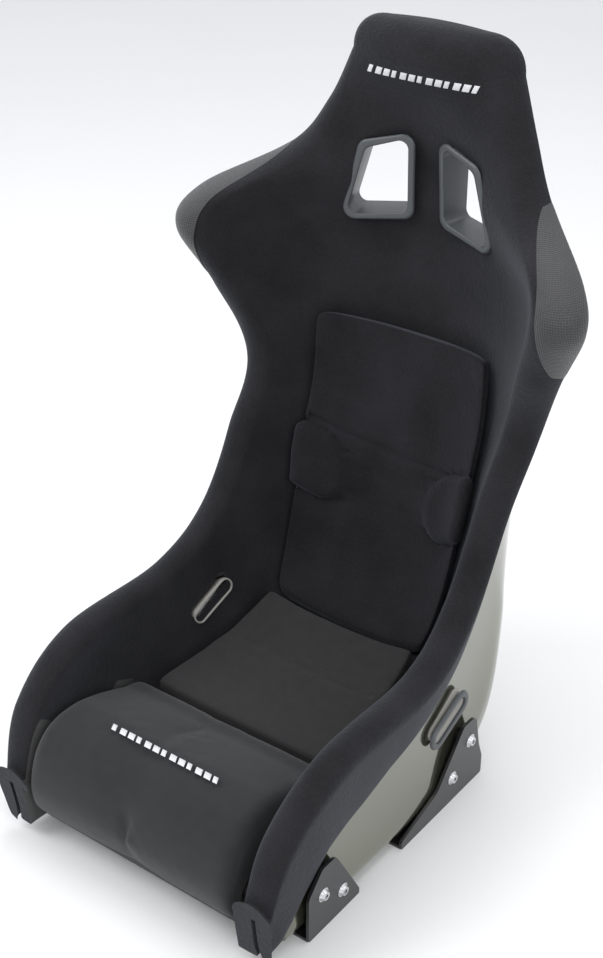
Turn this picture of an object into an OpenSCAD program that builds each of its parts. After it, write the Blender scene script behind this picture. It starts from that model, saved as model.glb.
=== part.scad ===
// Fixed-back racing bucket seat: a moulded shell, hook-on bolster foam, loose cushions,
// shoulder and lap belt openings, and bolted steel side mounts.
// Millimetres. +Z is up, the seat faces -Y, and it is symmetric about X = 0.
// It stands on the flanges of its side mounts at Z = 0.

/* [Shell] */
// Wall thickness of the moulded shell
shell_t = 4; // [3:0.5:5]
// Gap between the shell and the parts that meet it
skin_gap = 0.5; // [0.3:0.1:1]
// Gap between the shell and the pads, for hook-and-loop tape
pad_gap = 3; // [2.5:0.5:4]

/* [Cushions] */
// Thickness of the seat cushion above its foam base
seat_cushion_t = 46; // [36:1:50]
// How far the back cushion stands proud of the bolster foam
back_cushion_rise = 26; // [15:1:32]
// Half of the width of the thigh cushion
thigh_half = 158; // [145:1:158]

/* [Belt openings] */
// Width of the moulded frame around each shoulder opening
bezel_flange = 9; // [6:0.5:12]
// Wall of the moulded frames
bezel_wall = 2.5; // [2:0.5:3]
// Length of each lap belt opening
lap_length = 70; // [60:1:80]
// Height of each lap belt opening
lap_height = 18; // [12:1:24]

/* [Side mounts] */
// Thickness of the steel plate
mount_t = 4; // [3:0.5:5]
// Distance between the outer faces of the two side mounts
mount_span = 418; // [416:1:424]
// Width of the flange that rests on the floor
foot_width = 42; // [38:1:50]
// Distance between the floor bolts across the seat
bolt_spacing_x = 370; // [362:1:376]
// Distance between the floor bolts along the seat
bolt_spacing_y = 300; // [260:5:310]
// Radius of the floor bolt holes
floor_hole_r = 4.5; // [3.5:0.1:5.5]

/* [Hidden] */

depth = 638;                // overall depth, which centres the seat on Y = 0
side_steps = 11;            // points along one side of a section
roll_steps = 6;             // points around the roll of a section

// One row per station along the seat, from the front of the pan up to the head:
// [y, z of the tray centre, tilt of the section, height of the rim above the centre,
//  half-width at the rim, flat half-width, length of the end tangent, slant of the wall,
//  depth of the shell below the tray, radius of the roll,
//  squareness of the shell's corner, squareness of the tray's corner,
//  where the cover ends on the outside of the shell, as a share of a side]
// y runs from the front edge. A tilt of 0 points up and 90 points forward.
rows = [
    [ 10,  58,   8,  42, 205, 170,  20,  88, 42, 19, 1.0, 1.0, 0.62],
    [ 50,  82,   7, 101, 213, 175,  70,  88, 70, 21, 1.0, 1.0, 0.64],
    [150,  88,   7, 150, 219, 180, 110,  88, 78, 22, 1.0, 0.7, 0.66],
    [330,  90,  11, 155, 219, 165, 110,  80, 80, 22, 1.0, 0.1, 0.70],
    [455, 125,  22, 179, 214, 145, 105,  76, 78, 22, 1.0, 0.0, 0.74],
    [527, 250,  32, 156, 212, 125,  80,  72, 44, 22, 0.8, 0.0, 0.76],
    [573, 405,  56, 102, 216, 120,  50,  60, 26, 23, 0.45, 0.0, 0.72],
    [592, 530,  74, 134, 252, 100,  60,  62, 20, 27, 0.0, 0.0, 0.68],
    [598, 636,  88, 165, 288,  80, 100,  64, 20, 33, 0.0, 0.0, 0.66],
    [598, 700,  96, 145, 270,  60,  90,  48, 20, 32, 0.0, 0.0, 0.66],
    [596, 748,  98,  61, 182,  50,  60,  24, 22, 28, 0.0, 0.0, 0.68],
    [583, 800,  93,  18, 144,  50,  36,   4, 26, 26, 0.0, 0.0, 0.72],
    [556, 865,  90, -21, 117,  50,  30, -24, 36, 25, 0.0, 0.0, 0.72],
];
last_row = len(rows) - 1;

shell_start = 0.8;          // row at which the shell begins, behind the thigh cushion

// Rows at which one cover part meets the next
seam = 2.35;                // thigh cushion to seat cushion
waist = 6.45;               // side bolster to wing pad
shoulder = 10.75;           // wing pad to headrest
back_top = 6.93;            // top of the back cushion

wing_edge = 0.5;            // where the upper back pad meets the wing pads, as a share of a side
// Rows at which sections are laid, from the front of the shell up to its top edge
front_rows = ramp(shell_start, seam, 5);
tray_rows = ramp(seam + 0.03, waist, 11);
wing_rows = ramp(back_top + 0.04, shoulder, 9);
head_rows = [shoulder + 0.01, 11, 11.3, 11.6, 11.8, last_row];
shell_rows = concat(front_rows, tray_rows, [waist + 0.01], wing_rows, head_rows);
seat_end = tray_rows[4];    // row at which the seat cushion meets the back cushion
base_rows = concat(front_rows, [for (k = [0 : 3]) tray_rows[k]], [seat_end - 0.05]);
seat_rows = [for (k = [0 : 4]) tray_rows[k]];
back_rows = concat([seat_end + 0.03], [for (k = [5 : 11]) tray_rows[k]], [back_top]);
// Half-width of the loose cushions and of the gap left for them, by row
cushion_half = [[seam, 137], [3.8, 114], [4.4, 122], [5.3, 130], [6, 128], [7, 125]];
bolster_half = [for (c = cushion_half) [c[0], c[1] + 1.5]];
function bolster_start(t) = t <= seam ? thigh_half + 2 : lookup(t, bolster_half);
function wing_start(t) = t > 7 ? wing_edge : share(station(t), lookup(t, bolster_half));
hem_t = 3;                  // thickness of the cover at its hem

// Catmull-Rom interpolation of the table
function row(i) = rows[min(max(i, 0), last_row)];
function spline(a, b, c, d, f) =
    b + 0.5 * f * (c - a + f * (2 * a - 5 * b + 4 * c - d + f * (3 * (b - c) + d - a)));
function station(t) =
    let (i = min(floor(t), last_row - 1))
    spline(row(i - 1), row(i), row(i + 1), row(i + 2), t - i);

// A point (u across, w along the tilted section) of a station, in the seat's frame
function place(s, p) = [p[0], s[0] - depth / 2 - p[1] * sin(s[2]), s[1] + p[1] * cos(s[2])];
function placed(s, points) = [for (p = points) place(s, p)];

function bezier(p, q, r, s, f) =
    pow(1 - f, 3) * p + 3 * f * pow(1 - f, 2) * q + 3 * f * f * (1 - f) * r + pow(f, 3) * s;
// The same curve with both middle points doubled, which keeps closer to them
function square_bezier(p, q, r, s, f) =
    let (g = 1 - f)
    pow(g, 5) * p + (5 * f * pow(g, 4) + 10 * f * f * pow(g, 3)) * q
        + (10 * pow(f, 3) * g * g + 5 * pow(f, 4) * g) * r + pow(f, 5) * s;
function lerp(a, b, f) = a + (b - a) * f;
function ramp(a, b, n) = [for (i = [0 : n]) a + (b - a) * i / n];
function reversed(list) = [for (i = [len(list) - 1 : -1 : 0]) list[i]];
function mirrored(points) = [for (p = reversed(points)) [-p[0], p[1]]];

// Right half of the face that the occupant touches, from the centre to the start of the roll
function slant(s) = [cos(s[7]), sin(s[7])];
function roll_centre(s) = [s[4] - s[9], s[3] - s[9]];
function face_end(s) = roll_centre(s) + s[9] * [-sin(s[7]), cos(s[7])];
function face_point(s, f) =
    let (b = [s[5], 0], d = face_end(s), c = d - s[6] * slant(s))
    bezier([0, 0], b, c, d, f) * (1 - s[11]) + square_bezier([0, 0], b, c, d, f) * s[11];
// Share of a side at which the face is half wide
function share(s, half, low = 0, high = 1, turns = 12) =
    let (mid = (low + high) / 2)
    turns == 0 ? mid : face_point(s, mid)[0] > half ? share(s, half, low, mid, turns - 1)
                                                    : share(s, half, mid, high, turns - 1);

// Right half of the shell, d outside its inner surface
function shell_point(s, f, d) =
    let (e = roll_centre(s) + [d, 0], a = [0, -s[8] - d],
         b = [min(s[5] + 1.4 * s[8], e[0] * (0.6 + 0.5 * s[10])), a[1]],
         wall = lerp(s[7], 88, s[10]), c = e - (s[6] + s[8] * s[10]) * [cos(wall), sin(wall)])
    bezier(a, b, c, e, f) * (1 - s[10]) + square_bezier(a, b, c, e, f) * s[10];

// The roll, from the end of the face to the outermost point
function roll_points(s, rise = 0) =
    [for (a = ramp(90 + s[7], 0, roll_steps)) roll_centre(s) + (s[9] + rise) * [cos(a), sin(a)]];

// Outside of the cover below the roll, tapering down to the hem
function wrap_points(s, rise = 0) =
    let (last = shell_t + skin_gap + hem_t, end = s[12])
    [for (f = ramp(0.95, end, 4))
        shell_point(s, f, last + (s[9] - last) * pow((f - end) / (1 - end), 0.8) + rise)];

// Closed half-section of cover foam that hooks over the rim of the shell. Each point of its outside
// has a partner across the foam.
function hook_outside(s, start) =
    concat([for (k = [0 : side_steps - 1]) face_point(s, lerp(start, 1, k / side_steps))],
           roll_points(s), wrap_points(s));
function hook_inside(s, start) =
    let (c = roll_centre(s), hem = shell_t + 2 * skin_gap,
         inner = concat([for (k = [0 : side_steps - 1]) lerp(start, 0.9, k / (side_steps - 1))],
                        [0.93, 0.96, 0.98]))
    concat([for (f = inner) shell_point(s, f, -lerp(pad_gap, 2 * skin_gap, (f - start) / (1 - start)))],
           [c + [-skin_gap, 4], c + [hem, 4], shell_point(s, 1, hem), shell_point(s, 0.98, hem)],
           [for (f = ramp(0.95, s[12], 4)) shell_point(s, f, hem)]);
function hook_ring(s, start) = concat(hook_outside(s, start), reversed(hook_inside(s, start)));

// Closed section of a pad that fills the tray from side to side
function strip_ring(s, edge, n, drop = 0) =
    let (top = [for (f = ramp(0, edge, n)) face_point(s, f) - [0, drop]],
         low = [for (f = ramp(edge, 0, n)) shell_point(s, f, -pad_gap)])
    placed(s, concat(mirrored([for (i = [1 : n]) top[i]]), top, low,
                     mirrored([for (i = [0 : n - 1]) low[i]])));

// Skin a row of rings, each a closed loop of the same number of points. The second half of a loop
// runs back beside the first, and the end caps are strips between the two. The two halves of a thin
// skin are split along the same diagonals, which keeps it equally thick.
module skin(rings, thin = false) {
    n = len(rings[0]);
    m = len(rings);
    cap = [for (j = [0 : n / 2 - 2]) each [[j, j + 1, n - 2 - j], [j, n - 2 - j, n - 1 - j]]];
    polyhedron([for (ring = rings) each ring], concat(
        cap,
        [for (i = [0 : m - 2]) for (j = [0 : n - 1])
            let (a = i * n + j, b = i * n + (j + 1) % n)
            each thin && j >= n / 2 ? [[a, a + n, b], [a + n, b + n, b]]
                                    : [[a, a + n, b + n], [a, b + n, b]]],
        [for (c = cap) [for (j = reversed(c)) (m - 1) * n + j]]
    ), convexity = 12);
}

// Build the left (+X) part, or its mirror image on the right
module on_side(side) {
    if (side == "left") children();
    else mirror([1, 0, 0]) children();
}

// Outline with rounded corners: each corner is [x, y, radius]
function corner_arc(a, b, c) =
    let (p = [b[0], b[1]], u = unit([a[0], a[1]] - p), v = unit([c[0], c[1]] - p),
         half = acos(u * v) / 2, m = p + unit(u + v) * b[2] / sin(half),
         from = p + u * b[2] / tan(half) - m, to = p + v * b[2] / tan(half) - m)
    [for (k = ramp(0, 1, 6)) m + b[2] * unit(from * (1 - k) + to * k)];
function unit(v) = v / norm(v);
function rounded(corners) =
    let (n = len(corners))
    [for (i = [0 : n - 1]) each corner_arc(corners[(i + n - 1) % n], corners[i], corners[(i + 1) % n])];

/* ---- belt openings ---- */

// Shoulder opening: corners of the frame in its own plane, [x, z, radius]
shoulder_frame = [[-46, 64, 15], [26, 46, 17], [52, -62, 15], [-46, -50, 15]];
shoulder_at = [62, 575, 715];   // centre of the frame, y from the front edge
shoulder_yaw = -17;
shoulder_pitch = 4;
shoulder_back = [41, -11.5];    // end of the sleeve: distance behind the frame's centre, and yaw

// Corners moved in towards the middle of the outline by about d
function shrunk(corners, d) =
    [for (c = corners) [c[0] - sign(c[0]) * d, c[1] - sign(c[1]) * d, max(c[2] - d / 2, 3)]];

module at_shoulder() {
    translate([shoulder_at[0], shoulder_at[1] - depth / 2, shoulder_at[2]])
        rotate([90 + shoulder_pitch, 0, shoulder_yaw]) children();
}

module shoulder_prism(inset, back, front) {
    translate([0, 0, back]) linear_extrude(front - back) polygon(rounded(shrunk(shoulder_frame, inset)));
}

// Lap opening: a long slot through the wall of the pan, nose down towards the front
lap_at = [203, 366, 134];       // centre on the outside of the shell, y from the front edge
lap_tilt = 24;

module at_lap() {
    translate([lap_at[0], lap_at[1] - depth / 2, lap_at[2]]) rotate([lap_tilt, 0, 0]) children();
}

// Round-ended bar along Y, from x = a to x = b
module lap_bar(a, b, grow) {
    r = lap_height / 2 + grow;
    half = (lap_length - lap_height) / 2;
    translate([a, 0, 0]) rotate([90, 0, 90]) linear_extrude(b - a) union() {
        square([2 * half, 2 * r], center = true);
        for (side = [-1, 1]) translate([side * half, 0]) circle(r, $fn = 32);
    }
}

/* ---- shell and cover ---- */

function shell_ring(s) =
    let (outer = [for (f = ramp(0, 1, side_steps)) shell_point(s, f, shell_t)],
         inner = [for (f = ramp(1, 0, side_steps)) shell_point(s, f, 0)])
    placed(s, reversed(concat(mirrored([for (i = [1 : side_steps]) outer[i]]), outer, inner,
                              mirrored([for (i = [0 : side_steps - 1]) inner[i]]))));

// Room for the left shoulder bezel: its sleeve, and its flange with all that is in front of it
module shoulder_space() {
    at_shoulder() {
        shoulder_prism(bezel_flange - bezel_wall - 0.6, -70, 40);
        shoulder_prism(-0.6, -0.6, 40);
    }
}

// Room for the left mounts: their bolts and inserts, and what is outside their plates
module mount_space() {
    shell_bolt_places() translate([0, 0, -23]) cylinder(h = 40, r = boss_r + 0.6, $fn = 32);
    for (plate = [front_plate, rear_plate])
        translate([plate_inner - 0.6, -depth / 2, 0]) rotate([90, 0, 90])
            linear_extrude(40) offset(delta = 1) polygon(rounded(plate));
}

module shell() {
    color("#20211b") resize([0, 0, 0]) difference() {
        union() {
            skin([for (t = shell_rows) shell_ring(station(t))]);
            for (side = ["left", "right"]) on_side(side) shell_bolt_places()
                translate([0, 0, -20]) cylinder(h = 17, r = boss_r, $fn = 32);
        }
        for (side = ["left", "right"]) on_side(side) {
            at_shoulder() shoulder_prism(bezel_flange - bezel_wall - 0.6, -70, 40);
            at_lap() lap_bar(-60, 40, bezel_wall + 0.6);
            shell_bolt_places() cylinder(h = 60, r = insert_r + 0.4, center = true, $fn = 24);
        }
    }
}

// Rubber edging along the rim of the shell, inside the hook of the cover
function trim_ring(s) =
    let (c = roll_centre(s))
    placed(s, [c + [0, 0.3], c + [0, 3.3], c + [shell_t, 3.3], c + [shell_t, 0.3]]);

module edge_trim(side) {
    color("#111111") on_side(side)
        skin([for (t = shell_rows) trim_ring(station(t))]);
}

// Moulded foam that fills the pan under the cushions
module foam_base() {
    function base_ring(t) =
        let (s = station(t), edge = share(s, min(bolster_start(t), bolster_start(t + 0.03)) - 4))
        strip_ring(s, edge, 8, skin_gap);
    color("#3a3a3a") resize([0, 0, 0]) difference() {
        skin([for (t = base_rows) base_ring(t)]);
        thigh_space();
        for (side = ["left", "right"]) on_side(side) mount_space();
    }
}

module bolster(side) {
    color("#26262b") on_side(side) resize([0, 0, 0]) difference() {
        skin([for (t = concat([0, shell_start / 2], front_rows, tray_rows))
            let (s = station(t)) placed(s, hook_ring(s, share(s, bolster_start(t))))]);
        at_lap() lap_bar(-60, 40, bezel_wall + 0.6);
        at_lap() lap_bar(0.5, 40, bezel_flange + 0.6);
        thigh_space();
        mount_space();
    }
}

module wing_pad(side) {
    color("#26262b") on_side(side) resize([0, 0, 0]) difference() {
        skin([for (t = concat([waist + 0.01], wing_rows))
            let (s = station(t)) placed(s, hook_ring(s, wing_start(t)))]);
        shoulder_space();
    }
}

// Abrasion patch of mesh over the outer side of the wing
module wing_patch(side) {
    function patch_ring(s, lift) = concat(roll_points(s, lift), wrap_points(s, lift));
    function patch_loop(s) = placed(s, concat(patch_ring(s, 1.6), reversed(patch_ring(s, 0.5))));
    color("#4a4b4f") on_side(side)
        skin([for (k = [1 : 7]) patch_loop(station(wing_rows[k]))], thin = true);
}

// Pad from side to side between the wing pads, around the shoulder openings
module upper_back_pad() {
    color("#26262b") resize([0, 0, 0]) difference() {
        skin([for (t = wing_rows) strip_ring(station(t), wing_start(t) - 0.01, 8)]);
        for (side = ["left", "right"]) on_side(side) shoulder_space();
    }
}

module headrest_pad() {
    function head_ring(s) =
        let (outer = hook_outside(s, 0.05), inner = hook_inside(s, 0.05))
        placed(s, concat(mirrored(outer), outer, reversed(inner), mirrored(reversed(inner))));
    color("#26262b") skin([for (t = head_rows) head_ring(station(t))]);
}

// Crown of the headrest above the top edge of the shell
module head_crown() {
    top = rows[last_row];
    color("#26262b") translate([0, -depth / 2, 0]) resize([0, 0, 0]) difference() {
        hull() {
            translate([0, 598, top[1] + 4]) linear_extrude(1) square([198, 68], center = true);
            for (x = [-60, 60]) for (y = [588, 614]) translate([x, y, 882]) sphere(24, $fn = 24);
        }
        translate([-150, 500, top[1] - 98.5]) cube([300, 200, 100]);
    }
}

/* ---- cushions ---- */

// Cushion laid in the tray: its underside follows the tray or the shell, its top is crowned
function cushion_ring(s, edge, rise, on_shell) =
    let (n = 8,
         top = [for (f = ramp(0, edge, n)) face_point(s, f) + [0, rise * (1 - 0.35 * pow(f / edge, 4))]],
         low = concat(on_shell ? [face_point(s, edge) + [0, skin_gap]] : [],
                      [for (f = ramp(edge, 0, n)) on_shell ? shell_point(s, f, -pad_gap)
                                                           : face_point(s, f) + [0, skin_gap]]))
    placed(s, concat(mirrored([for (i = [1 : n]) top[i]]), top, low,
                     mirrored([for (i = [0 : len(low) - 2]) low[i]])));

module seat_cushion() {
    color("#3a3a37")
        skin([for (t = seat_rows)
            let (s = station(t))
            cushion_ring(s, share(s, lookup(t, cushion_half)), seat_cushion_t, false)]);
}

module back_cushion() {
    color("#242428")
        skin([for (t = back_rows)
            let (s = station(t))
            cushion_ring(s, share(s, lookup(t, cushion_half)), back_cushion_rise, true)]);
}

// D-shaped pads sewn on either side of the lumbar channel
module lumbar_lobe(side) {
    function lobe_ring(s, k) =
        let (reach = sqrt(max(1 - k * k, 0.02)), lift = back_cushion_rise,
             edge = share(s, 118), start = share(s, 118 - 56 * reach))
        placed(s, concat(
            [for (f = ramp(start, edge, 6)) face_point(s, f) + [0, lift + 2 + 6 * reach]],
            [for (f = ramp(edge, start, 6)) face_point(s, f) + [0, lift + 1.5]]));
    color("#242428") on_side(side)
        skin([for (k = ramp(-1, 1, 8)) lobe_ring(station(5.25 + 0.33 * k), k)]);
}

// Side view of the thigh cushion, y from the front edge: over the tray and down the front
thigh_profile = [
    [208.5, 90.5], [203.5, 128], [150, 150], [100, 168], [84, 171], [58, 171], [34, 163], [14, 142],
    [3, 112], [0, 84], [6, 56], [18, 42], [30, 46], [32, 76], [60, 85], [150, 90],
];

// Room for the thigh cushion in the foam around it
module thigh_space() {
    translate([-thigh_half - 0.6, -depth / 2, 0]) rotate([90, 0, 90])
        linear_extrude(2 * thigh_half + 1.2) offset(delta = 0.6) polygon(thigh_profile);
}

module thigh_cushion() {
    color("#3b4040") translate([-thigh_half, -depth / 2, 0])
        rotate([90, 0, 90]) linear_extrude(2 * thigh_half) polygon(thigh_profile);
}

/* ---- badges, openings and mounts ---- */

badge_half = 84;            // half-length of the embroidered stripes
badge_height = 14;          // height of the embroidered stripes

module thigh_badge() {
    color("white") translate([0, 71 - depth / 2, 171.5 + skin_gap])
        cube([2 * badge_half, badge_height, 1], center = true);
}

module head_badge() {
    function badge_ring(s) =
        let (n = 6, half = [for (f = ramp(0, 0.72, n)) face_point(s, f)],
             front = concat(mirrored([for (i = [1 : n]) half[i]]), half))
        placed(s, concat([for (p = front) p + [0, 1.6]], [for (p = reversed(front)) p + [0, 0.6]]));
    color("white") skin([for (k = [3, 4]) badge_ring(station(head_rows[k]))]);
}

module shoulder_bezel(side) {
    color("#3c4043") on_side(side) difference() {
        at_shoulder() difference() {
            union() {
                shoulder_prism(0, 0, 2.5);
                shoulder_prism(bezel_flange - bezel_wall, -70, 1);
            }
            shoulder_prism(bezel_flange, -71, 4);
        }
        translate([shoulder_at[0], shoulder_at[1] - depth / 2 + shoulder_back[0], shoulder_at[2]])
            rotate([0, 0, shoulder_back[1]]) translate([-100, 0, -100]) cube([200, 100, 200]);
    }
}

// Ring that clamps the bezel to the back of the shell and follows its surface
module shoulder_ring(side) {
    function clamp_ring(s) =
        placed(s, concat([for (f = ramp(0, 0.8, 9)) shell_point(s, f, shell_t + 0.4)],
                         [for (f = ramp(0.8, 0, 9)) shell_point(s, f, shell_t + 3.4)]));
    color("#3c4043") on_side(side) resize([0, 0, 0]) difference() {
        intersection() {
            skin([for (t = concat(wing_rows, head_rows)) clamp_ring(station(t))]);
            at_shoulder() shoulder_prism(-3, -90, 0);
        }
        at_shoulder() shoulder_prism(bezel_flange - bezel_wall - 0.4, -91, 1);
    }
}

module lap_bezel(side) {
    color("#3c4043") on_side(side) at_lap() difference() {
        lap_bar(1, 4, 9);
        lap_bar(0, 5, 0);
    }
}

module lap_sleeve(side) {
    color("#5a5c5c") on_side(side) at_lap() difference() {
        lap_bar(-30, 1, bezel_wall);
        lap_bar(-31, 2, 0);
    }
}

bolt_r = 4;                 // M8 side bolts
insert_r = 6;               // barrel of the threaded inserts
boss_r = 15;                // bosses inside the wall of the shell that hold the inserts
plate_inner = mount_span / 2 - mount_t;
foot_centre_y = 259;        // middle of the bolt pattern, y from the front edge

// Side views of the two upright plates: corners [y from the front edge, z, radius]
front_plate = [[72, 0, 3], [72, 66, 12], [98, 94, 10], [124, 94, 12], [172, 8, 5], [172, 0, 2]];
rear_plate = [
    [262, 0, 2], [262, 12, 5], [340, 36, 30], [397, 104, 10],
    [426, 104, 12], [437, 52, 14], [446, 28, 6], [446, 0, 3],
];
shell_bolts = [[98, 56], [136, 34], [412, 74], [372, 40]];  // y from the front edge, z

// Axes of the side bolts, pointing out of the seat along +X
module shell_bolt_places() {
    for (b = shell_bolts) translate([plate_inner, b[0] - depth / 2, b[1]]) rotate([0, 90, 0]) children();
}

// Steel angle bracket: an upright plate bolted to the shell and a flange on the floor
module bracket(side, plate, hole_y) {
    from = plate[0][0];
    to = plate[len(plate) - 1][0];
    color("#17181a") on_side(side) difference() {
        union() {
            translate([plate_inner, -depth / 2, 0]) rotate([90, 0, 90])
                linear_extrude(mount_t) polygon(rounded(plate));
            translate([mount_span / 2 - foot_width, from - depth / 2, 0])
                cube([foot_width - mount_t / 2, to - from, mount_t]);
        }
        shell_bolt_places() cylinder(h = 3 * mount_t, r = bolt_r + 0.3, center = true, $fn = 32);
        translate([bolt_spacing_x / 2, hole_y - depth / 2, -1])
            cylinder(h = mount_t + 2, r = floor_hole_r, $fn = 32);
    }
}

module front_mount(side) {
    bracket(side, front_plate, foot_centre_y - bolt_spacing_y / 2);
}

module rear_mount(side) {
    bracket(side, rear_plate, foot_centre_y + bolt_spacing_y / 2);
}

module each_side() {
    on_side("left") children();
    on_side("right") children();
}

// Button-head bolts with a hexagon socket
module mount_bolts() {
    color("silver") each_side() shell_bolt_places() difference() {
        union() {
            translate([0, 0, -22]) cylinder(h = 22 + mount_t + 1.6, r = bolt_r, $fn = 24);
            translate([0, 0, mount_t + 1.6]) cylinder(h = 4.4, r1 = 7.5, r2 = 5.5, $fn = 32);
        }
        translate([0, 0, mount_t + 3]) cylinder(h = 5, r = 2.9, $fn = 6);
    }
}

module mount_washers() {
    color("silver") each_side() shell_bolt_places() translate([0, 0, mount_t]) difference() {
        cylinder(h = 1.6, r = 9, $fn = 32);
        translate([0, 0, -1]) cylinder(h = 4, r = bolt_r + 0.2, $fn = 24);
    }
}

module mount_spacers() {
    color("#17181a") each_side() shell_bolt_places() translate([0, 0, -3]) difference() {
        cylinder(h = 3, r = 11, $fn = 32);
        translate([0, 0, -1]) cylinder(h = 6, r = bolt_r + 0.2, $fn = 24);
    }
}

// Threaded inserts bonded into the wall of the shell
module mount_inserts() {
    color("#b8b8b0") each_side() shell_bolt_places() translate([0, 0, -20]) difference() {
        cylinder(h = 16.5, r = insert_r, $fn = 24);
        translate([0, 0, -1]) cylinder(h = 30, r = bolt_r, $fn = 24);
    }
}

shell();
edge_trim("left");  // left_edge_trim
edge_trim("right");  // right_edge_trim
foam_base();
bolster("left");  // left_bolster
bolster("right");  // right_bolster
wing_pad("left");  // left_wing_pad
wing_pad("right");  // right_wing_pad
wing_patch("left");  // left_wing_patch
wing_patch("right");  // right_wing_patch
upper_back_pad();
headrest_pad();
head_crown();
seat_cushion();
thigh_cushion();
back_cushion();
lumbar_lobe("left");  // left_lumbar_lobe
lumbar_lobe("right");  // right_lumbar_lobe
head_badge();
thigh_badge();
shoulder_bezel("left");  // left_shoulder_bezel
shoulder_bezel("right");  // right_shoulder_bezel
shoulder_ring("left");  // left_shoulder_ring
shoulder_ring("right");  // right_shoulder_ring
lap_bezel("left");  // left_lap_bezel
lap_bezel("right");  // right_lap_bezel
lap_sleeve("left");  // left_lap_sleeve
lap_sleeve("right");  // right_lap_sleeve
front_mount("left");  // left_front_mount
front_mount("right");  // right_front_mount
rear_mount("left");  // left_rear_mount
rear_mount("right");  // right_rear_mount
mount_bolts();
mount_washers();
mount_spacers();
mount_inserts();
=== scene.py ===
"""Looks of the fixed-back racing bucket seat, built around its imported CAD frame.

Lengths in the tables are millimetres, with y counted back from the seat's front edge, as in the
part's source. Meshes are made in metres, in the row frame.
"""

import math

import bmesh
import bpy
import numpy as np
from mathutils import Matrix, Vector


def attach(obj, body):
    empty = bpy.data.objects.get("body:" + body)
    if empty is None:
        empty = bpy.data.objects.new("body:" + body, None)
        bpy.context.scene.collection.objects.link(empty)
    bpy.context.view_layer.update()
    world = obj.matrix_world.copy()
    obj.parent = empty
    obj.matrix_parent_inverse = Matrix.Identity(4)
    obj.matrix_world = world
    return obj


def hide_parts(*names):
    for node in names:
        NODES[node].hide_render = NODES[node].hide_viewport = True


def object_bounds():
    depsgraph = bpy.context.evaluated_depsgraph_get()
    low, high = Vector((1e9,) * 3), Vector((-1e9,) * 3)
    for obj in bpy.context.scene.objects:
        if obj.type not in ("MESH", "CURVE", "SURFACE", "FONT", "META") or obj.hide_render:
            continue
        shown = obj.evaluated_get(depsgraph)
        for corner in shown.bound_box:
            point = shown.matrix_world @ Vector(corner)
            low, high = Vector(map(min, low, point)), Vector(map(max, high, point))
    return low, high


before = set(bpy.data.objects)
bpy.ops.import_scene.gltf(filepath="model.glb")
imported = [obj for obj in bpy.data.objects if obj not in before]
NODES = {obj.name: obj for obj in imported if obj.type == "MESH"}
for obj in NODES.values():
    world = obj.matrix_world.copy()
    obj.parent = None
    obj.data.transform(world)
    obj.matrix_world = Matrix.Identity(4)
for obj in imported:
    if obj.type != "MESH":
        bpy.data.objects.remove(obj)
cad_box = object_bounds()

MM = 0.001
DEPTH = -2000 * cad_box[0][1]

# ---------------------------------------------------------------------------
# The seat's sections, as the part's source has them but for its hem share
# ---------------------------------------------------------------------------

# y, z of the tray centre, tilt, rim height, rim half-width, flat half-width, end tangent,
# wall slant, shell depth, roll radius, shell squareness, tray squareness
ROWS = np.array([
    [10, 58, 8, 42, 205, 170, 20, 88, 42, 19, 1.0, 1.0],
    [50, 82, 7, 101, 213, 175, 70, 88, 70, 21, 1.0, 1.0],
    [150, 88, 7, 150, 219, 180, 110, 88, 78, 22, 1.0, 0.7],
    [330, 90, 11, 155, 219, 165, 110, 80, 80, 22, 1.0, 0.1],
    [455, 125, 22, 179, 214, 145, 105, 76, 78, 22, 1.0, 0.0],
    [527, 250, 32, 156, 212, 125, 80, 72, 44, 22, 0.8, 0.0],
    [573, 405, 56, 102, 216, 120, 50, 60, 26, 23, 0.45, 0.0],
    [592, 530, 74, 134, 252, 100, 60, 62, 20, 27, 0.0, 0.0],
    [598, 636, 88, 165, 288, 80, 100, 64, 20, 33, 0.0, 0.0],
    [598, 700, 96, 145, 270, 60, 90, 48, 20, 32, 0.0, 0.0],
    [596, 748, 98, 61, 182, 50, 60, 24, 22, 28, 0.0, 0.0],
    [583, 800, 93, 18, 144, 50, 36, 4, 26, 26, 0.0, 0.0],
    [556, 865, 90, -21, 117, 50, 30, -24, 36, 25, 0.0, 0.0],
])
LAST = len(ROWS) - 1
# Share of the shell's side that the cover leaves bare, by row
HEM = np.array([[0, 0.60], [0.6, 0.62], [1.0, 0.70], [1.3, 0.77], [1.8, 0.845], [2.25, 0.875],
                [2.55, 0.905], [2.9, 0.925], [3.25, 0.94], [4.05, 0.95], [5.2, 0.95], [6.2, 0.88],
                [7.0, 0.72], [8.0, 0.66], [9.0, 0.66], [10.0, 0.68], [11.0, 0.72]])
SHELL_START = 0.8
SEAM = 2.35
SEAT_END = 3.87
BACK_TOP = 6.93
CUSHION_HALF = np.array([[SEAM, 137], [3.8, 114], [4.4, 122], [5.3, 130], [6, 128], [7, 125]])
SHELL_T = 4.0
HEM_T = 3.0
HEAD_CLOSE = (11.0, 0.45)
NOSE = 9
CROWN_HALF = 62
CROWN_Y = 601 - DEPTH / 2
CROWN_LIFT = 46
CROWN_DROP = 3
PATCH_SPAN = (7.12, 10.0)
PATCH_HEM = 0.12


def station(t):
    """Catmull-Rom interpolation of the table."""
    i = min(int(math.floor(t)), LAST - 1)
    a, b, c, d = (ROWS[min(max(k, 0), LAST)] for k in range(i - 1, i + 3))
    f = t - i
    return b + 0.5 * f * (c - a + f * (2 * a - 5 * b + 4 * c - d + f * (3 * (b - c) + d - a)))


def place(s, p):
    """Section points (across, up the tilted section) in the row frame, in millimetres."""
    tilt = math.radians(s[2])
    y = s[0] - DEPTH / 2 - p[:, 1] * math.sin(tilt)
    return np.column_stack([p[:, 0], y, s[1] + p[:, 1] * math.cos(tilt)])


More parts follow.
